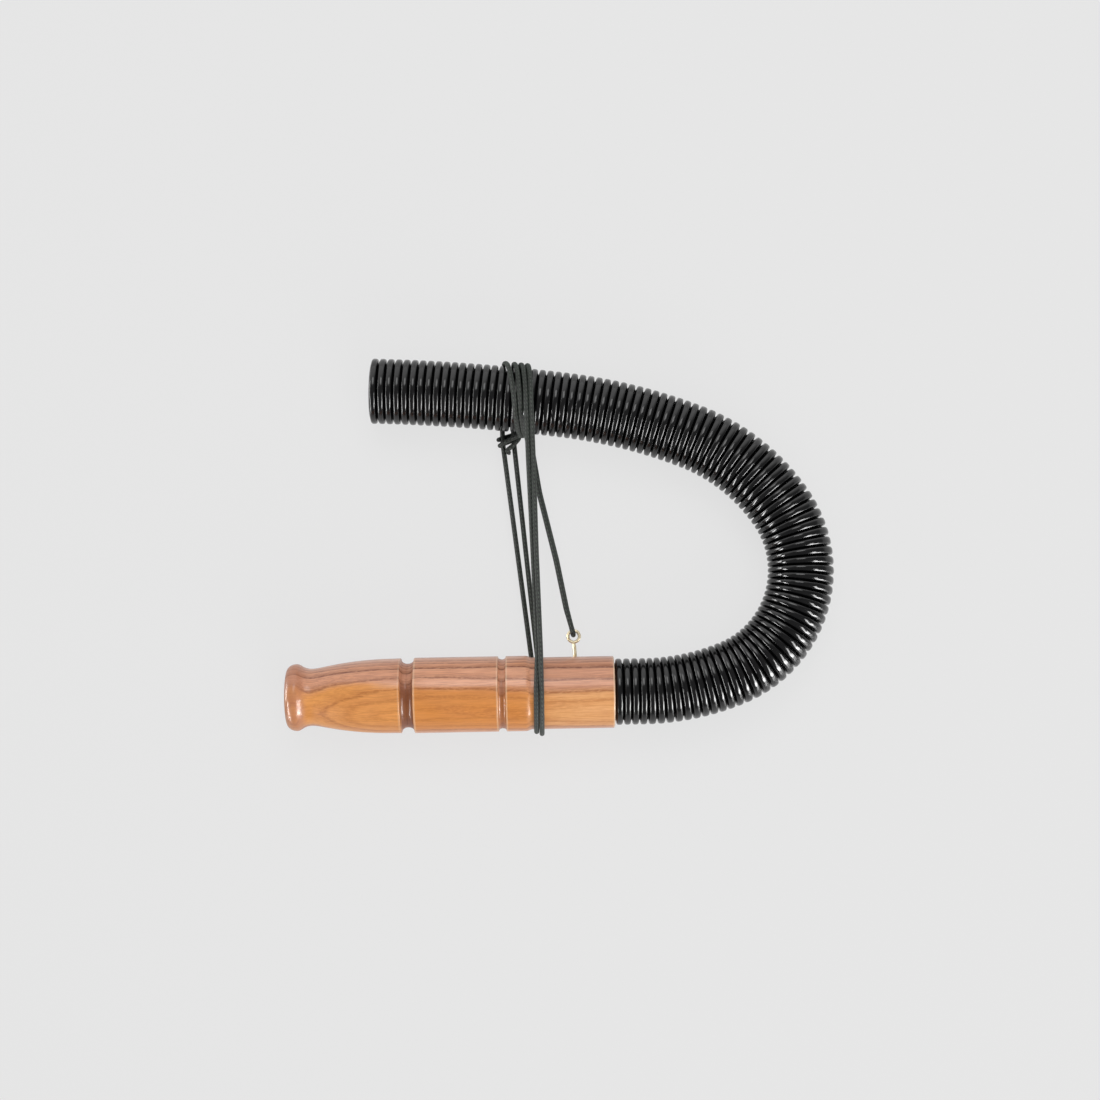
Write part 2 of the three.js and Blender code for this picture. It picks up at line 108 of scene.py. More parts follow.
def hose_place(distance):
    """The middle of the hose at a distance from the wood, and the direction to the bend's outer side."""
    station, across, heading = hose_start + min(distance, hose_straight), 0.0, 0.0
    left = distance - hose_straight
    for radius, sweep in hose_arcs:
        turned_by = min(max(left / radius, 0.0), math.radians(sweep))
        station += radius * (math.sin(heading + turned_by) - math.sin(heading))
        across -= radius * (math.cos(heading + turned_by) - math.cos(heading))
        heading += turned_by
        left -= radius * math.radians(sweep)
    outward = Vector((math.sin(heading), -math.cos(heading), 0))
    return Vector((station, across, 0)), outward


def beside_hose(distance, radius, angle):
    """A point at that radius from the middle line: angle 0 is up, 90 degrees the bend's outer side."""
    middle, outward = hose_place(distance)
    return middle + outward * radius * math.sin(angle) + Vector((0, 0, radius * math.cos(angle)))


print("hose", round(hose_length, 1), "mm long, ends at", tuple(hose_place(hose_length)[0]))

# %% [markdown]
# The lanyard is one braided cord of about 1.1 m, folded in two. The fold sits in the screw eye. Both halves
# run up behind the hose, over it, down in front, under the wooden body, up behind and over the hose again,
# and end in a knot. It is drawn tight, so nothing of it hangs and no simulation is needed: its route is
# chosen points joined by turns round the hose and the wood.

# %% Turns round the hose and the wood
cord_radius = 1.08
collar_radius = 15.35
hose_gap, wood_gap = 0.08, 0.03
wrap_radius = hose_crest + cord_radius + hose_gap
collar_wrap_radius = collar_radius + cord_radius + wood_gap
winding_distance = hose_length - 65
winding = hose_place(winding_distance)[0]
degrees_per_step = 10


def over_hose(shifts, start, end):
    """Points round the hose. Shifts are places along it at -90, 0, 90 and 180 degrees."""
    points = []
    steps = round(abs(end - start) / degrees_per_step)
    for i in range(steps + 1):
        angle = start + (end - start) * i / steps
        quarter = min(max(math.floor(angle / 90), -1), 1)
        share = angle / 90 - quarter
        shift = shifts[quarter + 1] * (1 - share) + shifts[quarter + 2] * share
        points.append(beside_hose(winding_distance - shift, wrap_radius, math.radians(angle)))
    return points


def under_body(behind, front, slack):
    """Points from under the body, round its lower side, to its front."""
    points = []
    steps = 180 // degrees_per_step
    for i in range(steps + 1):
        share = i / steps
        angle = math.pi * (share - 1)
        radius = collar_wrap_radius + slack * math.sin(angle) ** 2
        across, up = radius * math.sin(angle), radius * math.cos(angle)
        points.append(Vector((behind + (front - behind) * share, across, up)))
    return points


print("wound at radius", round(wrap_radius, 2), "on the hose,", round(collar_wrap_radius, 2), "on the wood")

# %% [markdown]
# The two halves lie side by side, but never quite parallel, as hands wind them. So each half has its own
# places along hose and body. A copy of one half, moved by a cord's width, would look machined.

# %% The two halves of the cord
knot_middle = winding + Vector((-5.56, -17.1, -13.9))
rear_spacing = 4.9
strands = [
    {
        "over": [1.9, -2.5, -8.3, -8.7],
        "knot_pass": -rear_spacing / 2,
        "body": (106.3, 106.7, 0),
        "front": [(107.55, 18, 15.1), (106.3, 60, 15.2), (105.1, 98, 15.5)],
        "over_again": [5.8, 2.7, -1.4, -0.2],
        "lead": [(109.1, 88, -7.9), (116, 57.5, -3), (120, 36, 0.4)],
        "tail": [(1.4, -14.85, -4.9), (0.9, -14.0, -7.4)],
    },
    {
        "over": [4.2, 0, -4.3, -4],
        "knot_pass": rear_spacing / 2,
        "body": (108.6, 108.95, 0.9),
        "front": [(108.8, 18, 16.9), (107.75, 60, 16.8), (107.2, 98, 15.8)],
        "over_again": [8.5, 4.9, 1.4, 2],
        "lead": [(109.6, 88, -10.1), (116.5, 57.5, -5.2), (120.4, 36, -2)],
        "tail": [(3.6, -14.95, -5.0), (2.9, -14.7, -7.8)],
    },
]


def strand_route(strand):
    behind, front, slack = strand["body"]
    return [
        *[winding + Vector(point) for point in reversed(strand["tail"])],
        *over_hose(strand["over"], -100, 175),
        knot_middle + Vector((strand["knot_pass"], 0, 0)),
        Vector((behind, 1.5, -collar_wrap_radius)),
        *under_body(behind, front, slack),
        *[Vector(point) for point in strand["front"]],
        *over_hose(strand["over_again"], 0, 180),
        *[Vector(point) for point in strand["lead"]],
    ]


print("halves of", [len(strand_route(strand)) for strand in strands], "points")

# %% [markdown]
# The fold goes through the eye as a half circle round its wire. It joins both halves into one route, because
# the real lanyard is one cord, and two tubes that meet in the eye would show a seam.

# %% The fold in the eye
eye_station, eye_middle = 123.1, 24.05
eye_ring_radius, eye_wire_radius = 2.46, 0.68
eye_centre = Vector((eye_station, eye_middle, 0))
lead_direction = beside_hose(winding_distance, wrap_radius, math.pi) - eye_centre
lead_direction.z = 0
lead_direction.normalize()
bight_gap, bight_steps = 0.2, 8
bight_radius = eye_wire_radius + cord_radius + bight_gap
bight = []
for i in range(bight_steps + 1):
    angle = math.pi * i / bight_steps
    middle = eye_centre + lead_direction * (eye_ring_radius - bight_radius * math.sin(angle))
    bight.append(middle + Vector((0, 0, bight_radius * math.cos(angle))))
cord_route = [*strand_route(strands[0]), *bight, *reversed(strand_route(strands[1]))]
print("cord route of", len(cord_route), "points")

# %% [markdown]
# A cord is a tube through its route. The route is cut into even steps and eased, as a real cord rounds each
# corner. At each step stands a ring, and the rings are carried along without twist: rings that are aimed one
# by one would turn against each other, and the braid with them.

# %% Rings along a route
floor_height = 0.0
end_size, end_growth = 0.72, 0.28


def even_route(points, spacing, easing):
    """The route in even steps, eased by that many passes."""
    steps = []
    for before, after in zip(points, points[1:]):
        count = max(1, round((after - before).length / spacing))
        steps += [before.lerp(after, k / count) for k in range(count)]
    steps.append(points[-1])
    for _ in range(easing):
        middles = [(a + b * 2 + c) / 4 for a, b, c in zip(steps, steps[1:], steps[2:])]
        steps = [steps[0], *middles, steps[-1]]
    return steps


def carried_rings(points, radii, sides, taper):
    """A ring of corners at each point, never under the floor, and each ring's distance from the start."""
    rings, runs, run = [], [], 0.0
    sideways = Vector((0, 0, 1))
    for i, point in enumerate(points):
        along = (points[min(i + 1, len(points) - 1)] - points[max(i - 1, 0)]).normalized()
        sideways = (sideways - along * sideways.dot(along)).normalized()
        other = along.cross(sideways)
        if i:
            run += (point - points[i - 1]).length
        ends = min(i, len(points) - 1 - i)
        size = radii[i]
        if ends < taper:
            size *= end_size + end_growth * math.sin(math.pi / 2 * ends / taper)
        ring = []
        for k in range(sides):
            angle = 2 * math.pi * k / sides
            corner = point + (sideways * math.cos(angle) + other * math.sin(angle)) * size
            spot = place(*corner)
            spot.z = max(spot.z, floor_height)
            ring.append(spot)
        rings.append(ring)
        runs.append(run)
    return rings, runs


print("rings shrink to", end_size, "of their size at a tapered end")

# %% [markdown]
# The rings become a closed mesh. A curve object with a bevel would be shorter to write, but its own UV map
# doesn't know the cord's length. Here U runs round the cord and V along it at the same scale, because the
# braid has to follow the cord.

# %% A tube, and the lanyard as the first one


def tube(name, points, radius, sides, taper=0):
    """A closed round tube, with one radius or one for each point. Its ends shrink over that many steps."""
    radii = radius if isinstance(radius, list) else [radius] * len(points)
    rings, runs = carried_rings(points, radii, sides, taper)
    faces = []
    for i in range(len(rings) - 1):
        for k in range(sides):
            following = (k + 1) % sides
            faces.append([i * sides + k, i * sides + following,
                          (i + 1) * sides + following, (i + 1) * sides + k])
    faces.append(list(reversed(range(sides))))
    faces.append([(len(rings) - 1) * sides + k for k in range(sides)])
    mesh = bpy.data.meshes.new(name)
    mesh.from_pydata([spot for ring in rings for spot in ring], [], faces)
    layer = mesh.uv_layers.new(name="along_cord")
    around = 2 * math.pi * max(radii)
    for face in mesh.polygons:
        face.use_smooth = len(face.vertices) == 4
        if face.use_smooth:
            i, k = divmod(face.vertices[0], sides)
            for loop, (di, dk) in zip(face.loop_indices, ((0, 0), (0, 1), (1, 1), (1, 0))):
                layer.data[loop].uv = ((k + dk) / sides, runs[i + di] / around)
    piece = bpy.data.objects.new(name, mesh)
    bpy.context.scene.collection.objects.link(piece)
    return piece


cord_steps = even_route(cord_route, spacing=0.5, easing=8)
lanyard = tube("cord_lanyard", cord_steps, cord_radius, sides=14)
cord_length = sum((after - before).length for before, after in zip(cord_steps, cord_steps[1:]))
print("lanyard", round(cord_length), "mm long,", len(lanyard.data.polygons), "faces")

# %% [markdown]
# The knot ties both ends to the two rear strands. It is small and tight. The first end crosses both strands
# aslant, turns round behind them, comes up at the right, crosses the right strand steeply and sticks out
# below. The second end passes behind the two and sticks out at the left. The two crossings leave a small
# eye between them. A modelled lump with a cord's pattern would show no crossings, so each end is a short
# tube of the same cord, a little thinner because the knot squeezes it, and both are joined into one piece.

# %% The knot
first_end = [
    (0.9, -14.0, -7.4), (0.4, -13.8, -9.0), (-0.6, -13.9, -10.4), (-2.6, -14.5, -11.2), (-5.0, -15.6, -11.5),
    (-7.3, -16.8, -11.7), (-8.8, -17.6, -12.4), (-9.5, -17.8, -13.7), (-9.2, -17.4, -15.2),
    (-8.0, -16.6, -16.1), (-5.5, -15.7, -16.3), (-3.4, -15.0, -16.2), (-1.9, -14.6, -15.8),
    (-1.0, -14.4, -14.8), (-0.8, -14.5, -13.4), (-1.3, -15.5, -12.4), (-2.4, -16.7, -12.0),
    (-3.4, -17.9, -11.8), (-4.7, -19.0, -11.8), (-5.9, -19.7, -12.0), (-6.3, -20.5, -12.3),
    (-5.7, -21.2, -12.5), (-4.6, -21.3, -12.5),
]
second_end = [
    (2.9, -14.7, -7.8), (2.2, -13.2, -9.8), (0.9, -12.2, -11.8), (-0.9, -12.0, -13.8), (-2.6, -12.4, -15.4),
    (-4.3, -12.9, -16.2), (-6.2, -13.4, -16.2), (-8.6, -14.2, -15.9), (-9.9, -15.0, -14.4),
    (-10.1, -15.2, -13.3),
]


def join(name, pieces):
    bpy.ops.object.select_all(action="DESELECT")
    for piece in pieces:
        piece.select_set(True)
    bpy.context.view_layer.objects.active = pieces[0]
    bpy.ops.object.join()
    pieces[0].name = name
    return pieces[0]


squeezed_radius = cord_radius - 0.06
knot_tubes = []
for i, points in enumerate((first_end, second_end)):
    steps = even_route([winding + Vector(point) for point in points], spacing=0.4, easing=6)
    knot_tubes.append(tube(f"knot_{i}", steps, squeezed_radius, sides=14, taper=3))
knot = join("cord_knot", knot_tubes)
print("knot of", len(knot_tubes), "tubes,", len(knot.data.polygons), "faces")

# %% [markdown]
# Turned pieces come from an outline. Cylinders that are scaled ring by ring could give the same shapes, but
# an outline is how a turner's template is drawn. One vertex is extruded from place to place along it, and
# the outline is spun round the call's axis. Every turned piece, and the hose's rib, uses these helpers.

# %% Drawing and spinning an outline


def draw_outline(name, points, closed=True):
    """A row of joined vertices in the upright plane through the axis, from (station, radius) pairs."""
    bpy.ops.object.select_all(action="DESELECT")
    bpy.ops.mesh.primitive_plane_add(size=MM, location=(0, 0, 0))
    piece = bpy.context.object
    piece.name = piece.data.name = name
    spots = [Vector((station, 0, radius)) * MM for station, radius in points]
    bpy.ops.object.mode_set(mode="EDIT")
    bpy.ops.mesh.select_all(action="SELECT")
    bpy.ops.mesh.merge(type="CENTER")
    bpy.ops.transform.translate(value=spots[0])
    for before, after in zip(spots, spots[1:]):
        bpy.ops.mesh.extrude_vertices_move(TRANSFORM_OT_translate={"value": after - before})
    bpy.ops.object.mode_set(mode="OBJECT")
    if closed:
        piece.data.edges.add(1)
        piece.data.edges[-1].vertices = (0, len(spots) - 1)
        piece.data.update(calc_edges=False)
    return piece


def spin_outline(piece, steps, sharp_angle=35):
    """Spins the outline round the X axis and points its faces outwards."""
    bpy.ops.object.mode_set(mode="EDIT")
    bpy.ops.mesh.select_all(action="SELECT")
    bpy.ops.mesh.spin(steps=steps, angle=2 * math.pi, center=(0, 0, 0), axis=(1, 0, 0))
    bpy.ops.mesh.select_all(action="SELECT")
    bpy.ops.mesh.remove_doubles(threshold=0.002 * MM)
    bpy.ops.mesh.normals_make_consistent(inside=False)
    bpy.ops.object.mode_set(mode="OBJECT")
    bpy.ops.object.shade_smooth_by_angle(angle=math.radians(sharp_angle))
    return piece


def turned(name, points, steps=144):
    piece = spin_outline(draw_outline(name, points), steps)
    piece.data.transform(Matrix.Translation(axis_start))
    print(name, "turned from", len(points), "points,", len(piece.data.polygons), "faces")
    return piece


# %% [markdown]
# The outside of the wood is arcs and sweeps. A sweep is a Bezier stretch that is level at both ends, which
# is how a turner's skew leaves one diameter and arrives at the next. A Bevel modifier could break the
# grooves' edges, but it would also take the sharp inner corners, so the outline itself has a small round
# there. It catches the light as sanded wood does.

# %% Stretches of an outline
edge_round = 0.35


def sweep_line(start, end, leave, arrive, steps):
    """Level at both ends. Leave and arrive say how far it runs on, as shares of its length."""
    length = end[0] - start[0]
    handles = [start, (start[0] + leave * length, start[1]), (end[0] - arrive * length, end[1]), end]
    points = []
    for i in range(steps + 1):
        t = i / steps
        weights = ((1 - t) ** 3, 3 * t * (1 - t) ** 2, 3 * t * t * (1 - t), t ** 3)
        points.append(tuple(sum(w * h[axis] for w, h in zip(weights, handles)) for axis in (0, 1)))
    return points


def arc_line(station, radius, along_size, across_size, start, end, steps):
    """Part of an ellipse, between two angles in degrees."""
    points = []
    for i in range(steps + 1):
        angle = math.radians(start + (end - start) * i / steps)
        points.append((station + along_size * math.cos(angle), radius + across_size * math.sin(angle)))
    return points


def corner_line(station, radius, size, steps):
    """The rounded corner where a piece ends at a station."""
    return arc_line(station - size, radius - size, size, size, 90, 0, steps)


def edge_before(station, rim, width):
    """The broken edge in front of a groove."""
    return arc_line(station - width / 2 - edge_round, rim - edge_round, edge_round, edge_round, 90, 20, 4)


def edge_after(station, rim, width):
    """The broken edge behind a groove."""
    return arc_line(station + width / 2 + edge_round, rim - edge_round, edge_round, edge_round, 160, 90, 4)


def groove_floor(station, rim, width, depth, start, end, steps):
    """The round bottom of a groove, from 180 degrees at its first side to 0 at its second."""
    return arc_line(station, rim - edge_round, width / 2, edge_round - depth, start, end, steps)


print("a groove 3 mm wide has", len(groove_floor(0, 16, 3, 1, 180, 0, 16)), "points in its floor")

# %% [markdown]
# The mouthpiece has a bead for the lips, a thin neck and a long swell. Behind the first half of the wide
# groove stands its tenon, which a cork sleeve seals in the body. It pulls out, so its hidden end is finished
# too. Wood turned in one piece with the body would look the same at rest, but could not move.

# %% Mouthpiece
fit = 0.3
corner = 0.6
lip_round, mouth_bore = 1.6, 6
bead_station, bead_radius, bead_height = 4.1, 14.3, 3.1
neck_station, neck_radius = 10.9, 12.2
swell_station, swell_radius = 46, 15.9
main_radius = 16.1
joint_station, joint_width, joint_depth = 51.7, 5.6, 2.4
joint_rim = (main_radius + swell_radius) / 2
tenon_radius, tenon_length = 10.2, 13
tenon_end = joint_station + tenon_length
cork_start, cork_length, cork_thickness = 53.7, 9, 1.2
cork_proud = 0.4
cork_seat = tenon_radius + cork_proud - cork_thickness - fit
cork_outer = cork_seat + fit + cork_thickness
seat_end = cork_start + cork_length + 2 * fit

mouthpiece = turned("turned_mouthpiece", [
    (0.0, mouth_bore + lip_round),
    *arc_line(bead_station, bead_radius - bead_height, bead_station, bead_height, 180, 90, 14),
    *sweep_line((bead_station, bead_radius), (neck_station, neck_radius), 0.32, 0.63, 14)[1:],
    *sweep_line((neck_station, neck_radius), (swell_station, swell_radius), 0.11, 0.6, 24)[1:],
    *edge_before(joint_station, joint_rim, joint_width),
    *groove_floor(joint_station, joint_rim, joint_width, joint_depth, 180, 90, 9)[1:],
    (joint_station, tenon_radius),
    (cork_start, tenon_radius),
    (cork_start, cork_seat),
    (seat_end, cork_seat),
    (seat_end, tenon_radius),
    *corner_line(tenon_end, tenon_radius, corner, 4),
    (tenon_end, mouth_bore),
    (lip_round, mouth_bore),
    *arc_line(lip_round, mouth_bore + lip_round, lip_round, lip_round, 270, 180, 5)[1:-1],
])

# %% [markdown]
# The body starts in the middle of the wide groove, a hairline from the mouthpiece. It has the narrow groove,
# a soft shoulder down to the collar, and a spigot that the hose is pushed on. Inside are the socket for the
# cork, the chamber for the reed and the sound bore. They could be cut with booleans, but in the outline
# they cost a few points and leave clean faces.

# %% Body
hairline, socket_gap = 0.06, 1.5
socket_radius, socket_end = cork_outer + fit, tenon_end + socket_gap
chamber_radius, chamber_end = 8.6, 118
sound_bore, spigot_radius = 6, 9.77
body_length, spigot_length = 140, 25
spigot_end = body_length + spigot_length
narrow_groove = (92.1, main_radius, 3.2)
narrow_depth = 1.35
shoulder_station, shoulder_length = 101.7, 3.3

call_body = turned("turned_body", [
    (joint_station + hairline, socket_radius),
    *groove_floor(joint_station, joint_rim, joint_width, joint_depth, 88.8, 0, 9)[:-1],
    *edge_after(joint_station, main_radius, joint_width),
    *edge_before(*narrow_groove),
    *groove_floor(*narrow_groove, narrow_depth, 180, 0, 16)[1:-1],
    *edge_after(*narrow_groove),
    (shoulder_station, main_radius),
    *sweep_line((shoulder_station, main_radius), (shoulder_station + shoulder_length, collar_radius),
                0.52, 0.4, 10)[1:],
    *corner_line(body_length, collar_radius, corner, 5),
    (body_length, spigot_radius),
    *corner_line(spigot_end, spigot_radius, corner, 3),
    (spigot_end, sound_bore),
    (chamber_end, sound_bore),
    (chamber_end, chamber_radius),
    (socket_end, chamber_radius),
    (socket_end, socket_radius),
])

# %% [markdown]
# The cork sleeve sits in a shallow seat on the tenon. Its corners are rounded by use. It is turned as the
# wood is, because real sleeves are ground round in the lathe.

# %% Tenon cork
cork_corner = 0.4
cork_end = cork_start + fit + cork_length
cork = turned("cork_sleeve", [
    (cork_start + fit, cork_seat + fit),
    *arc_line(cork_start + fit + cork_corner, cork_outer - cork_corner, cork_corner, cork_corner, 180, 90, 4),
    *corner_line(cork_end, cork_outer, cork_corner, 4),
    (cork_end, cork_seat + fit),
], steps=96)

# %% [markdown]
# The hose is moulded with separate rings, not a screw thread. Each ring is broad and nearly flat on top,
# with a narrow gap to the next. Rings that are set one by one along the line would not join into a hose, so
# one pitch of the outer and the inner wall is drawn and spun, and an Array repeats and welds it.

# %% One rib
rib_count = 96
rib_pitch = hose_length / rib_count
wall = 0.55
valley_radius, flank_radius = 11.95, 12.75
crest_half = 1.38
crest_power = 2.8
crest_wall, flank_wall = 0.6, 0.5


def crest_line(half, foot, top, steps):
    """A broad rounded crest over the middle of one pitch: a squared ellipse."""
    points = []
    for i in range(steps + 1):
        angle = math.pi * (1 - i / steps)
        along = math.copysign(abs(math.cos(angle)) ** (2 / crest_power), math.cos(angle))
        radius = foot + (top - foot) * math.sin(angle) ** (2 / crest_power)
        points.append((rib_pitch / 2 + half * along, radius))
    return points


outer_wall = draw_outline("ribbed_hose", [
    (0, valley_radius),
    *crest_line(crest_half, flank_radius, hose_crest, 12),
    (rib_pitch, valley_radius),
], closed=False)
inner_wall = draw_outline("inner_wall", [
    (0, valley_radius - wall),
    *crest_line(crest_half - flank_wall, flank_radius - flank_wall, hose_crest - crest_wall, 3),
    (rib_pitch, valley_radius - wall),
], closed=False)
hose = spin_outline(join("ribbed_hose", [outer_wall, inner_wall]), 48)
print("one rib,", round(rib_pitch, 2), "mm long, of", len(hose.data.polygons), "faces")

# %% [markdown]
# The wall is open where the row is cut. The ends are closed while the row is still straight, because there
# the end rings are easy to select by their place: the outer ring is extruded, shrunk to the inner ring's
# size and merged with it. A bridge between two rings in one plane can start at the wrong vertex and fill
# the bore.

# %% The row of ribs, closed at both ends
row = hose.modifiers.new("row", "ARRAY")
row.count = rib_count
row.use_relative_offset = False
row.use_constant_offset = True
row.constant_offset_displace = (rib_pitch * MM, 0, 0)
row.use_merge_vertices = True
row.merge_threshold = 0.002 * MM
bpy.ops.object.modifier_apply(modifier="row")


def close_end(piece, station):
    """Draws the outer ring in to the inner one, at a station where the wall is cut."""
    mesh = piece.data
    ring = []
    for vertex in mesh.vertices:
        radius = math.hypot(vertex.co.y, vertex.co.z) / MM
        ring.append(abs(vertex.co.x / MM - station) < 0.01 and abs(radius - valley_radius) < wall / 2)
    both = [ring[first] and ring[second] for first, second in (edge.vertices for edge in mesh.edges)]
    mesh.vertices.foreach_set("select", ring)
    mesh.edges.foreach_set("select", both)
    mesh.polygons.foreach_set("select", [False] * len(mesh.polygons))
    shrink = (valley_radius - wall) / valley_radius
    bpy.ops.object.mode_set(mode="EDIT")
    bpy.ops.mesh.extrude_region_move()
    bpy.ops.transform.resize(value=(1, shrink, shrink), center_override=(station * MM, 0, 0))
    bpy.ops.mesh.select_all(action="SELECT")
    bpy.ops.mesh.remove_doubles(threshold=0.005 * MM)
    bpy.ops.mesh.normals_make_consistent(inside=False)
    bpy.ops.object.mode_set(mode="OBJECT")
    print("ring of", sum(ring), "vertices closed at", round(station, 1))


close_end(hose, 0)
close_end(hose, hose_length)

# %% [markdown]
# A Curve modifier bends the whole row along the middle line in one step, so the ribs open on the bend's
# outer side and close on its inner side, as real ones do. The line is removed again once it has been used.

# %% The row bent along the middle line
line_steps = 400
line_points = [place(*hose_place(hose_length * i / line_steps)[0]) for i in range(line_steps + 1)]
line_data = bpy.data.curves.new("hose_line", "CURVE")
line_data.dimensions = "3D"
line_data.twist_mode = "Z_UP"
spline = line_data.splines.new("POLY")
spline.points.add(len(line_points) - 1)
for point, spot in zip(spline.points, line_points):
    point.co = (*spot, 1)
hose_line = bpy.data.objects.new("hose_line", line_data)
bpy.context.scene.collection.objects.link(hose_line)

bend = hose.modifiers.new("bend", "CURVE")
bend.object = hose_line
bend.deform_axis = "POS_X"
bpy.ops.object.modifier_apply(modifier="bend")
bpy.data.objects.remove(hose_line)
bpy.ops.object.shade_smooth_by_angle(angle=math.radians(60))
edge_uses = Counter(key for face in hose.data.polygons for key in face.edge_keys)
open_edges = sum(uses != 2 for uses in edge_uses.values())
print("hose of", rib_count, "ribs,", len(hose.data.polygons), "faces,", open_edges, "open edges")

# %% [markdown]
# The screw eye is a length of brass wire. Its shank comes up out of the wood, leans a little to the left and
# goes round into a ring that closes against it. A torus on a cylinder would miss the small fork there, so
# the eye is one tube along the wire, with a thinner radius round the ring.

# %% Screw eye
shank_radius = 0.82
shank_depth, fork_height = 8, 1.2
root_lean, top_lean = 0.42, 0.15
shank_top = eye_middle - eye_ring_radius - fork_height
ring_from, ring_round, ring_steps = -100, 352, 44
eye_route = [
    Vector((eye_station + root_lean, collar_radius - shank_depth, 0)),
    Vector((eye_station + root_lean, collar_radius, 0)),
    Vector((eye_station + top_lean, shank_top, 0)),
]
for i in range(ring_steps + 1):
    angle = math.radians(ring_from - ring_round * i / ring_steps)
    eye_route.append(eye_centre + Vector((math.cos(angle), math.sin(angle), 0)) * eye_ring_radius)
eye_steps = even_route(eye_route, spacing=0.22, easing=4)
eye_radii = []
for i, step in enumerate(eye_steps):
    shank_share = min(max((shank_top + 0.4 - step.y) / 1.2, 0), 1) if i < len(eye_steps) / 2 else 0
    eye_radii.append(eye_wire_radius + (shank_radius - eye_wire_radius) * shank_share)
screw_eye = tube("wire_screw_eye", eye_steps, eye_radii, sides=16, taper=3)
print("screw eye of", len(screw_eye.data.polygons), "faces")

# %% [markdown]
# Materials are node trees, because image textures would need pictures beside the script. Small helpers keep
# them readable: nodes, sums on them, and colours as a screen shows them.

# %% Helpers for colours and nodes


def colour(red, green, blue):
    """A colour of 0 to 255, as seen on a screen."""
    linear = [v / 12.92 if v <= 0.04045 else ((v + 0.055) / 1.055) ** 2.4
              for v in (red / 255, green / 255, blue / 255)]
    return (*linear, 1)


def add_node(tree, kind, inputs=None, **settings):
    """A node. An input is a value, or the output socket that feeds it."""
    node = tree.nodes.new(kind)
    for name, value in settings.items():
        setattr(node, name, value)
    for name, value in (inputs or {}).items():
        if isinstance(value, bpy.types.NodeSocket):
            tree.links.new(value, node.inputs[name])
        else:
            node.inputs[name].default_value = value
    return node


def tree_of(*values):
    """The node tree that the sockets among these values belong to."""
    return next(value.id_data for value in values if isinstance(value, bpy.types.NodeSocket))


def calc(operation, *values):
    tree = tree_of(*values)
    return add_node(tree, "ShaderNodeMath", dict(enumerate(values)), operation=operation).outputs[0]


def plus(first, second):
    return calc("ADD", first, second)


def minus(first, second):
    return calc("SUBTRACT", first, second)


def times(first, second):
    return calc("MULTIPLY", first, second)


def larger(first, second):
    return calc("MAXIMUM", first, second)


def between(value, low, high):
    """0 below low, 1 above high, and smooth in between."""
    return add_node(tree_of(value), "ShaderNodeMapRange", {
        "Value": value, "From Min": low, "From Max": high}, interpolation_type="SMOOTHSTEP").outputs["Result"]


def blend_colours(factor, first, second):
    tree = tree_of(factor, first, second)
    return add_node(tree, "ShaderNodeMix", {0: factor, 6: first, 7: second}, data_type="RGBA").outputs[2]


print("screen grey 128 is", round(colour(128, 128, 128)[0], 3), "in linear light")

# %% [markdown]
# A pattern is laid out in the piece's own space, so that it stays on the piece when the piece moves. Grain
# needs more: it is measured in millimetres from the call's axis, turned round it, and drawn out along it.

# %% Helpers for patterns and materials


def own_space(tree):
    return add_node(tree, "ShaderNodeTexCoord").outputs["Object"]


def grain_space(tree, centre, tilt, stretch):
    """Object coordinates in millimetres from a centre, turned about the axis and stretched along it."""
    turned_by = Euler((tilt, 0, 0))
    scale = Vector((1000 * stretch, 1000, 1000))
    shifted = Matrix.Diagonal(scale) @ centre
    shifted.rotate(turned_by)
    return add_node(tree, "ShaderNodeMapping", {
        "Vector": own_space(tree), "Location": -shifted, "Rotation": turned_by,
        "Scale": scale}).outputs["Vector"]


def noise(vector, scale, detail=2.0, roughness=0.5):
    return add_node(tree_of(vector), "ShaderNodeTexNoise", {
        "Vector": vector, "Scale": scale, "Detail": detail, "Roughness": roughness}).outputs["Fac"]


def new_material(name, **shader_values):
    """A node material, its tree and its shader. Values go on the shader's own sockets."""
    made = bpy.data.materials.new(name)
    made.use_nodes = True
    shader = made.node_tree.nodes["Principled BSDF"]
    for socket, value in shader_values.items():
        shader.inputs[socket.replace("_", " ")].default_value = value
    print("material", name)
    return made, made.node_tree, shader


def feed(shader, **sources):
    """Links values that change over the surface to the shader's sockets."""
    for socket, source in sources.items():
        shader.id_data.links.new(source, shader.inputs[socket.replace("_", " ")])


def bump(shader, height, strength, distance):
    node = add_node(shader.id_data, "ShaderNodeBump", {
        "Height": height, "Strength": strength, "Distance": distance})
    feed(shader, Normal=node.outputs["Normal"])


# %% [markdown]
# Handled surfaces are never evenly glossy. This group gives a smudge value that several materials use as
# their roughness, each with its own range and size. One group keeps them alike.

# %% Smudges, a group that several materials share
smudges = bpy.data.node_groups.new("smudges", "ShaderNodeTree")
for socket, direction in (("Low", "INPUT"), ("High", "INPUT"), ("Size", "INPUT"), ("Value", "OUTPUT")):
    smudges.interface.new_socket(socket, in_out=direction, socket_type="NodeSocketFloat")
group_in = smudges.nodes.new("NodeGroupInput")
group_out = smudges.nodes.new("NodeGroupOutput")
smudge_noise = noise(own_space(smudges), group_in.outputs["Size"], 5, 0.6)
smudge_value = add_node(smudges, "ShaderNodeMapRange", {
    "Value": smudge_noise, "From Min": 0.35, "From Max": 0.65,
    "To Min": group_in.outputs["Low"], "To Max": group_in.outputs["High"]})
smudges.links.new(smudge_value.outputs["Result"], group_out.inputs["Value"])


def smudge(tree, low, high, size):
    node = tree.nodes.new("ShaderNodeGroup")
    node.node_tree = smudges
    for socket, value in (("Low", low), ("High", high), ("Size", size)):
        node.inputs[socket].default_value = value
    return node.outputs["Value"]


print("smudges of", len(smudges.nodes), "nodes")

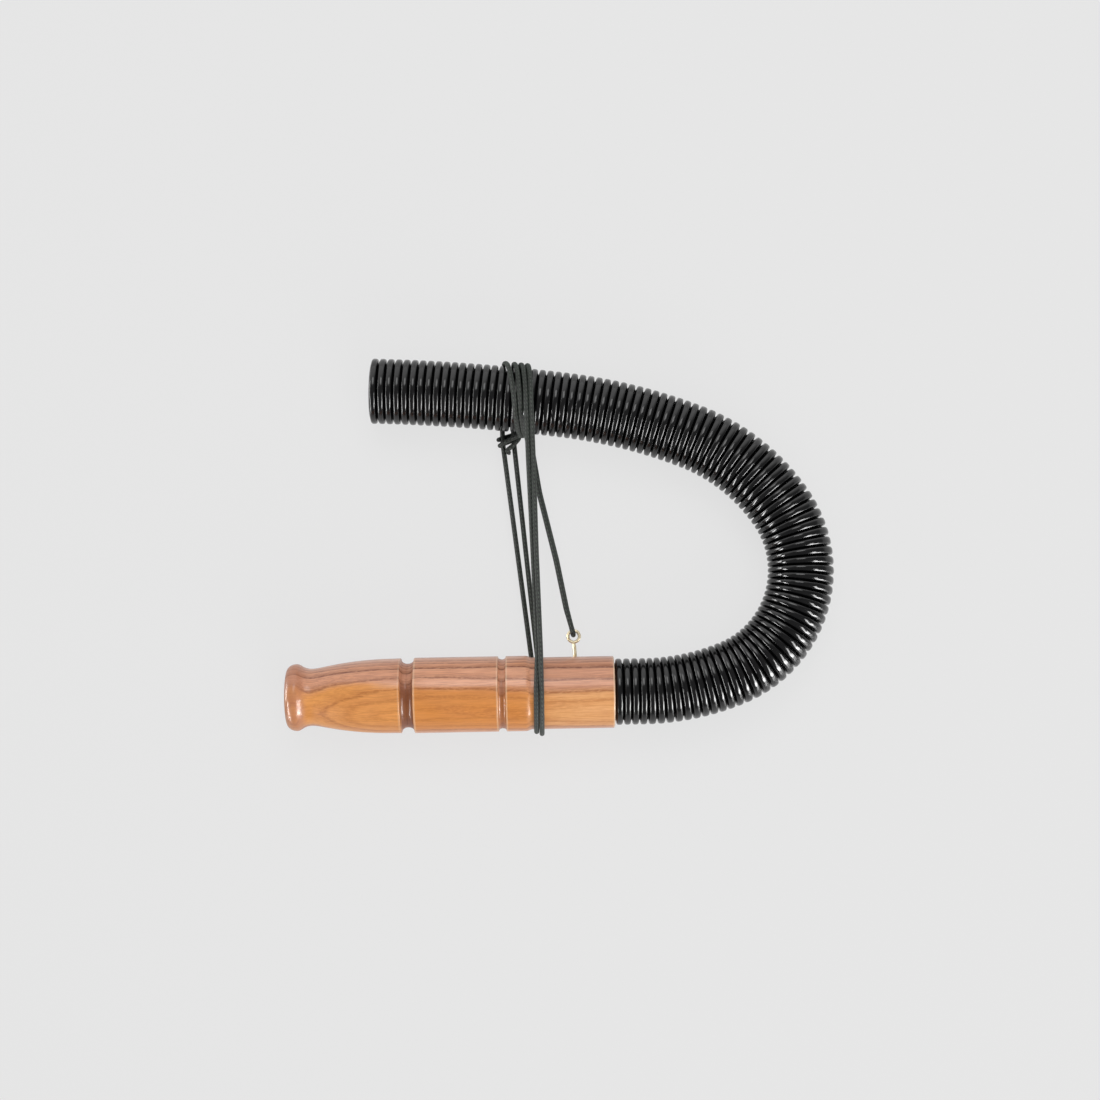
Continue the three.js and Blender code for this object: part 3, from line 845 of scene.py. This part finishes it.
# %% [markdown]
# The wood is striped. Its year rings lie as nearly flat layers through the blank, tilted by about 33
# degrees, and the turning cuts across them: on the upper side they show as thin dark lines along the body,
# and low on the mouthpiece, where a layer just touches the surface, as long curves. A wave texture would
# space all lines alike. So the pattern is a depth through the layers, and both wooden pieces share it.

# %% Wood: the depth through its layers
wood, tree, shader = new_material(
    "striped_wood", Coat_Weight=0.42, Coat_Roughness=0.12, Specular_IOR_Level=0.3)
layer_tilt = math.radians(-33)
layers = grain_space(tree, axis_start, layer_tilt, 1.0)
broken_space = grain_space(tree, axis_start, layer_tilt, 0.3)
slow_space = grain_space(tree, axis_start, layer_tilt, 0.12)
fine_space = grain_space(tree, axis_start, layer_tilt, 0.045)
parts = add_node(tree, "ShaderNodeSeparateXYZ", {"Vector": layers})
station, depth = parts.outputs["X"], parts.outputs["Z"]
across_parts = add_node(tree, "ShaderNodeVectorMath", {0: layers, 1: (0, 1, 1)}, operation="MULTIPLY")
from_axis = add_node(tree, "ShaderNodeVectorMath", {0: across_parts.outputs[0]},
                     operation="LENGTH").outputs["Value"]

sway = times(minus(noise(slow_space, 0.11, 2), 0.5), 3.2)
ripple = times(minus(noise(slow_space, 0.9, 3), 0.5), 0.7)
layer = plus(plus(depth, sway), ripple)
print("layers tilted by", round(math.degrees(layer_tilt)), "degrees")

# %% [markdown]
# Each dark layer is a year's late wood: sharp on its outer side, and fading on its inner side. They are
# listed at the depths where the photograph shows lines, and broken up along their length.

# %% Wood: the dark layers
dark_layers = [  # depth in millimetres, half width, and how dark
    (-12.6, 0.5, 0.5), (-9.4, 0.35, 0.6), (-5.6, 0.5, 0.5), (-1.6, 0.35, 0.5), (0.7, 0.3, 0.55),
    (4.0, 0.42, 0.95), (9.0, 0.36, 0.7), (12.7, 0.35, 0.75), (14.4, 0.4, 0.5), (15.7, 0.2, 0.45),
]
darkness = None
for middle, half, amount in dark_layers:
    offset = minus(layer, middle)
    sharp = between(calc("ABSOLUTE", offset), half * 1.8, 0.0)
    fading = times(between(offset, half * -6, 0.0), between(offset, half, 0.0))
    line = times(larger(sharp, times(fading, 0.5)), amount)
    darkness = line if darkness is None else larger(darkness, line)
broken = between(noise(broken_space, 1.6, 3), 0.3, 0.62)
lines = times(darkness, plus(times(broken, 0.55), 0.45))
print(len(dark_layers), "dark layers")

# %% [markdown]
# Pink heartwood changes to orange sapwood at one of the layers. The three turned stretches differ a little
# in tone, as they do in the photograph, and fine streaks and slow patches keep any stretch from one flat
# colour. The bead for the lips is blended towards a darker reddish brown.

# %% Wood: heartwood and sapwood
heart_edge = plus(9.3, times(between(station, 22, 62), 3.2))
sapwood = between(minus(layer, heart_edge), -1.5, 1.3)
past_joint, past_shoulder = between(station, 50, 56), between(station, 98, 118)
sap_colour = blend_colours(past_joint, colour(232, 158, 84), colour(224, 146, 70))
sap_colour = blend_colours(past_shoulder, sap_colour, colour(236, 174, 112))
heart_colour = blend_colours(past_joint, colour(220, 158, 124), colour(228, 166, 131))
heart_colour = blend_colours(past_shoulder, heart_colour, colour(217, 157, 125))
base = blend_colours(sapwood, heart_colour, sap_colour)

patches = between(noise(slow_space, 0.45, 3), 0.35, 0.7)
base = blend_colours(times(patches, 0.2), base, colour(196, 122, 62))
streaks = noise(fine_space, 2.2, 4, 0.6)
streak_colour = blend_colours(sapwood, colour(164, 106, 80), colour(194, 120, 58))
base = blend_colours(times(between(streaks, 0.4, 0.68), 0.5), base, streak_colour)
# Painted light: the side towards the hose's returning run is lightened half-way to a pale pink.
base = blend_colours(times(between(depth, 4, -8), 0.5), base, colour(232, 190, 174))
line_colour = blend_colours(sapwood, colour(104, 52, 34), colour(170, 96, 40))
base = blend_colours(lines, base, line_colour)
bead_colour = blend_colours(0.6, base, colour(182, 120, 90))
base = blend_colours(between(station, 10, 6.5), base, bead_colour)
print("wood colour from", len(tree.nodes), "nodes")

# %% [markdown]
# The two grooves are darkened brown, partly by the stain and polish that stay there and partly as painted
# shade, stronger on their lower side. The edges beside them, and the collar's end, are painted pale as
# highlights. A pointiness mask is too coarse on long faces, so both masks come from a point's station and its
# distance from the axis.

# %% Wood: grooves with stain and painted shade, edges with painted highlights
# Stain and painted shade: the grooves are darkened brown, more strongly on their lower side.
in_groove = times(between(from_axis, 15.75, 14.2), between(station, 48.5, 49.5))
outside, before_collar = between(from_axis, 12.8, 13.2), between(station, 98, 96)
groove_stain_and_shade = times(times(in_groove, outside), before_collar)
stain_and_shade_strength = plus(0.3, times(between(depth, 6.5, 11), 0.56))
base = blend_colours(times(groove_stain_and_shade, stain_and_shade_strength), base, colour(112, 56, 26))

# Painted highlights: pale lines along the groove edges and the collar's end.
painted_highlight_stations = ((48.4, 0.15), (55.0, 0.32), (90.1, 0.3), (94.1, 0.32), (139.7, 0.55))
painted_highlight_edge = None
for edge_station, amount in painted_highlight_stations:
    near = between(calc("ABSOLUTE", minus(station, edge_station)), 0.55, 0.1)
    near = times(near, amount)
    painted_highlight_edge = near if painted_highlight_edge is None else larger(painted_highlight_edge, near)
painted_highlight_edge = times(painted_highlight_edge, between(from_axis, 14.6, 15.0))
base = blend_colours(painted_highlight_edge, base, colour(240, 216, 184))
print(len(painted_highlight_stations), "pale edges")

# %% [markdown]
# A clear lacquer lies over the wood, so its gloss is a coat, smudged by hands and duller in the grooves. The
# grain is felt through it as a very small relief.

# %% Wood: gloss and grain
rough = plus(smudge(tree, 0.34, 0.46, 90), times(groove_stain_and_shade, 0.3))
feed(shader, Base_Color=base, Roughness=rough)
bump(shader, minus(streaks, times(lines, 0.5)), 0.12, 0.00012)
print("finished wood of", len(tree.nodes), "nodes")

# %% [markdown]
# The hose is black plastic straight from the mould: semi-gloss, and faintly mottled. Pure black would hide
# the ribs, so it is a very dark grey.

# %% Hose plastic
hose_plastic, tree, shader = new_material("black_hose_plastic", Specular_IOR_Level=0.5)
mottle = noise(own_space(tree), 260, 3)
feed(shader, Base_Color=blend_colours(mottle, colour(9, 9, 10), colour(17, 17, 18)),
     Roughness=smudge(tree, 0.13, 0.18, 40))

# %% [markdown]
# The cord's braid follows its UV map: two families of yarn wind round it in opposite directions and pass
# over and under each other in a check. Modelled yarns would take a million faces and look the same here.

# %% Braided cord
braid, tree, shader = new_material("green_braid", Sheen_Weight=0.12, Sheen_Roughness=0.5, Roughness=0.72)
shader.inputs["Sheen Tint"].default_value = colour(150, 170, 155)
cord_map = add_node(tree, "ShaderNodeUVMap", uv_map="along_cord").outputs["UV"]
uv = add_node(tree, "ShaderNodeSeparateXYZ", {"Vector": cord_map})
yarns_round = 6
yarn_slope = 0.62
along = times(uv.outputs["Y"], yarns_round * yarn_slope)
round_cord = times(uv.outputs["X"], yarns_round)
waves = [calc("SINE", times(phase, math.pi))
         for phase in (plus(round_cord, along), minus(round_cord, along))]

# A yarn's height is 0 in the gap beside it and 1 on top of it
one_yarn, other_yarn = (calc("ABSOLUTE", wave) for wave in waves)
over = between(times(*waves), -0.25, 0.25)
height = plus(times(one_yarn, over), times(other_yarn, minus(1.0, over)))
worn = plus(0.06, times(noise(cord_map, 60, 3), 0.4))
tone = plus(worn, times(over, 0.6))
# Painted shade: the gaps between the yarns are darkened towards near black.
shade = times(between(height, 0.3, 0.85), tone)
feed(shader, Base_Color=blend_colours(shade, colour(5, 7, 6), colour(67, 75, 66)))
bump(shader, height, 0.9, 0.0002)

# %% [markdown]
# The small materials: pale brass for the eye, ground cork, and the plastics and rubber of the reed insert.
# Full metal would go black where so thin a wire mirrors nothing, so the brass is only partly metal. The three
# moulded stocks differ only in colour, gloss and grain, so a function makes them.

# %% Brass, cork, plastics and rubber
brass, tree, shader = new_material("pale_brass", Metallic=0.6)
tarnish = between(noise(own_space(tree), 500, 3), 0.45, 0.8)
feed(shader, Base_Color=blend_colours(tarnish, colour(240, 226, 192), colour(214, 188, 140)),
     Roughness=smudge(tree, 0.3, 0.42, 400))

ground_cork, tree, shader = new_material("ground_cork", Roughness=0.85)
granules = add_node(tree, "ShaderNodeTexVoronoi", {"Vector": own_space(tree), "Scale": 1100})
pits = between(noise(own_space(tree), 2600, 4), 0.6, 0.72)
granule_tone = add_node(tree, "ShaderNodeSeparateColor", {"Color": granules.outputs["Color"]})
base = blend_colours(granule_tone.outputs["Red"], colour(166, 122, 76), colour(203, 164, 112))
feed(shader, Base_Color=blend_colours(pits, base, colour(84, 54, 32)))
bump(shader, minus(granules.outputs["Distance"], pits), 0.5, 0.0002)


def moulded(name, dark, light, roughness, grain):
    """Plain moulded stock: a faint mottle and a fine surface grain."""
    made, tree, shader = new_material(name)
    mottle = noise(own_space(tree), grain / 4, 3)
    feed(shader, Base_Color=blend_colours(mottle, dark, light),
         Roughness=smudge(tree, roughness - 0.06, roughness + 0.06, 150))
    bump(shader, noise(own_space(tree), grain, 2), 0.08, 0.00006)
    return made


insert_plastic = moulded("insert_plastic", colour(34, 34, 36), colour(46, 46, 48), 0.42, 1600)
soft_rubber = moulded("soft_rubber", colour(20, 20, 20), colour(31, 30, 29), 0.75, 2400)
reed_sheet = moulded("reed_sheet", colour(222, 218, 204), colour(234, 231, 219), 0.3, 900)

# %% [markdown]
# Each new piece takes its material, the body it moves with and the solid it stands for.
# The pieces inside the call are right as solids, so they keep their own shapes and only get a material.

# %% Dress the pieces


def dress(piece, finish, body, node):
    piece.data.materials.clear()
    piece.data.materials.append(finish)
    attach(piece, body)
    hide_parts(node)
    print(piece.name, "replaces", node, "and moves with", body)


dress(mouthpiece, wood, "mouthpiece", "mouthpiece")
dress(cork, ground_cork, "mouthpiece", "tenon_cork")
dress(call_body, wood, "call", "call_body")
dress(screw_eye, brass, "call", "screw_eye")
dress(hose, hose_plastic, "call", "hose")
dress(lanyard, braid, "call", "lanyard")
dress(knot, braid, "call", "lanyard_knot")

inner_finishes = {
    "insert_base": insert_plastic,
    "base_ring": soft_rubber,
    "reed_board": insert_plastic,
    "reed": reed_sheet,
    "reed_wedge": ground_cork,
    "tuning_ring": soft_rubber,
}
for node, finish in inner_finishes.items():
    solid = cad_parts[node]
    solid.data.materials.clear()
    solid.data.materials.append(finish)
print(len(inner_finishes), "solids inside the call get a material")

# %% [markdown]
# The photograph has a plain pale grey ground and almost no shadow. The floor shows that grey to the camera,
# and round the call it mixes in a little of its real, shaded surface, so that the object still stands on it.
# A floor that is only lit could not be as even. The table under such a photograph is polished acrylic, so a
# mirror sees the grey and, in the other half, the lamps' image in a polished surface.

# %% Floor
ground_grey = colour(230, 230, 230)
shadow_share = 0.12
mirror_share = 0.45

bpy.ops.mesh.primitive_plane_add(size=6, location=(0, 0, floor_height))
floor = bpy.context.object
floor.name = "floor"
floor_material, tree, shader = new_material("pale_floor", Roughness=0.9, Specular_IOR_Level=0.0)
shader.inputs["Base Color"].default_value = ground_grey
polished = add_node(tree, "ShaderNodeBsdfPrincipled", {"Base Color": ground_grey, "Roughness": 0.2})
glow = add_node(tree, "ShaderNodeEmission", {"Color": ground_grey, "Strength": 1.0})
path = add_node(tree, "ShaderNodeLightPath").outputs
seen = larger(path["Is Camera Ray"], path["Is Transmission Ray"])
from_call = add_node(tree, "ShaderNodeVectorMath", {0: own_space(tree)}, operation="LENGTH").outputs["Value"]
shadow = times(between(from_call, 0.8, 0.3), shadow_share)
grey_share = larger(times(seen, minus(1.0, shadow)),
                    times(path["Is Glossy Ray"], mirror_share))
surface = add_node(tree, "ShaderNodeMixShader", {
    0: path["Is Glossy Ray"], 1: shader.outputs["BSDF"], 2: polished.outputs["BSDF"]})
mixed = add_node(tree, "ShaderNodeMixShader", {
    0: grey_share, 1: surface.outputs[0], 2: glow.outputs["Emission"]})
tree.links.new(mixed.outputs[0], tree.nodes["Material Output"].inputs["Surface"])
floor.data.materials.append(floor_material)
print("floor with a shadow of", shadow_share, "of its full strength")

# %% [markdown]
# The world is the room round the table. The camera sees it in the ground's grey. Mirrors see a darker room
# with one pale wall behind the hose. In one even colour, black plastic would look grey all over.

# %% World
world = bpy.data.worlds.new("studio")
bpy.context.scene.world = world
world.use_nodes = True
tree = world.node_tree
background = tree.nodes["Background"]
background.inputs["Color"].default_value = ground_grey
room_darkness, wall_brightness = 0.25, 1.5
ambient_strength = 0.6
towards = add_node(tree, "ShaderNodeSeparateXYZ", {
    "Vector": add_node(tree, "ShaderNodeTexCoord").outputs["Generated"]}).outputs
far_side = minus(times(towards["Y"], 0.9), times(towards["X"], 0.3))
far_wall = times(between(far_side, 0.1, 0.75), between(towards["Z"], 0.9, 0.6))
mirrored = plus(room_darkness, times(far_wall, wall_brightness))
path = add_node(tree, "ShaderNodeLightPath").outputs
for_mirrors = times(path["Is Glossy Ray"], minus(mirrored, ambient_strength))
room = plus(for_mirrors, ambient_strength)
plain = larger(path["Is Camera Ray"], path["Is Transmission Ray"])
tree.links.new(larger(room, plain), background.inputs["Strength"])
print("room light", ambient_strength, "and far wall", room_darkness + wall_brightness)

# %% [markdown]
# Black plastic shows its lamps more than anything else here. A soft box high behind the hose gives the bright
# spot on each ring. Two low cards give the white patches in the bend and the pale reflections on the lip and
# the shoulder. Two leaning strips follow the way in which a ring's flank mirrors the room, and draw a long
# thin line on it. Only mirrors see cards and strips, as a photographer turns a card until it shows in the
# gloss. Two wide boxes, which mirrors don't see, only fill. One big soft lamp would be simpler, but it would
# leave the ribs without their lines.

# %% Lamps
lamp_aim = Vector((0, 0, 0.02))


def soft_lamp(name, direction, distance, size, radiance, long_side=(0, 0, 1), mirrors=True, surfaces=True):
    """An oblong lamp in a direction from the call, as bright as a white wall times radiance."""
    bpy.ops.object.light_add(type="AREA")
    lamp = bpy.context.object
    lamp.name = name
    away = Vector(direction).normalized()
    across = Vector(long_side).cross(away).normalized()
    turn = Matrix((across, away.cross(across), away)).transposed().to_4x4()
    lamp.matrix_world = Matrix.Translation(lamp_aim + away * distance) @ turn
    lamp.data.shape = "RECTANGLE"
    lamp.data.size, lamp.data.size_y = size
    lamp.data.energy = radiance * math.pi * size[0] * size[1]
    lamp.visible_glossy = mirrors
    lamp.visible_diffuse = surfaces
    print(name, "of", round(lamp.data.energy, 1), "W")


soft_lamp("behind_hose", (0, 0.5, 0.86), 1.2, (0.6, 0.5), 3.6, long_side=(0, 1, 0))
soft_lamp("overhead", (0.1, -0.1, 1), 1.6, (1.4, 1.4), 1.15, long_side=(0, 1, 0), mirrors=False)
soft_lamp("front_fill", (0.4, -0.8, 0.4), 1.6, (1.0, 0.8), 3.4, mirrors=False)
soft_lamp("right_card", (0.77, -0.62, 0.15), 1.2, (0.6, 0.34), 20, surfaces=False)
soft_lamp("left_card", (-0.97, 0.12, 0.1), 1.2, (0.7, 0.26), 16, surfaces=False)
soft_lamp("right_strip", (0.68, -0.56, 0.4), 1.2, (0.26, 1.1), 15, long_side=(0.28, 0.62, 0.58),
          surfaces=False)
soft_lamp("left_strip", (-0.74, -0.56, 0.24), 1.2, (0.2, 1.0), 24, long_side=(-0.35, 0.61, 0.45),
          surfaces=False)
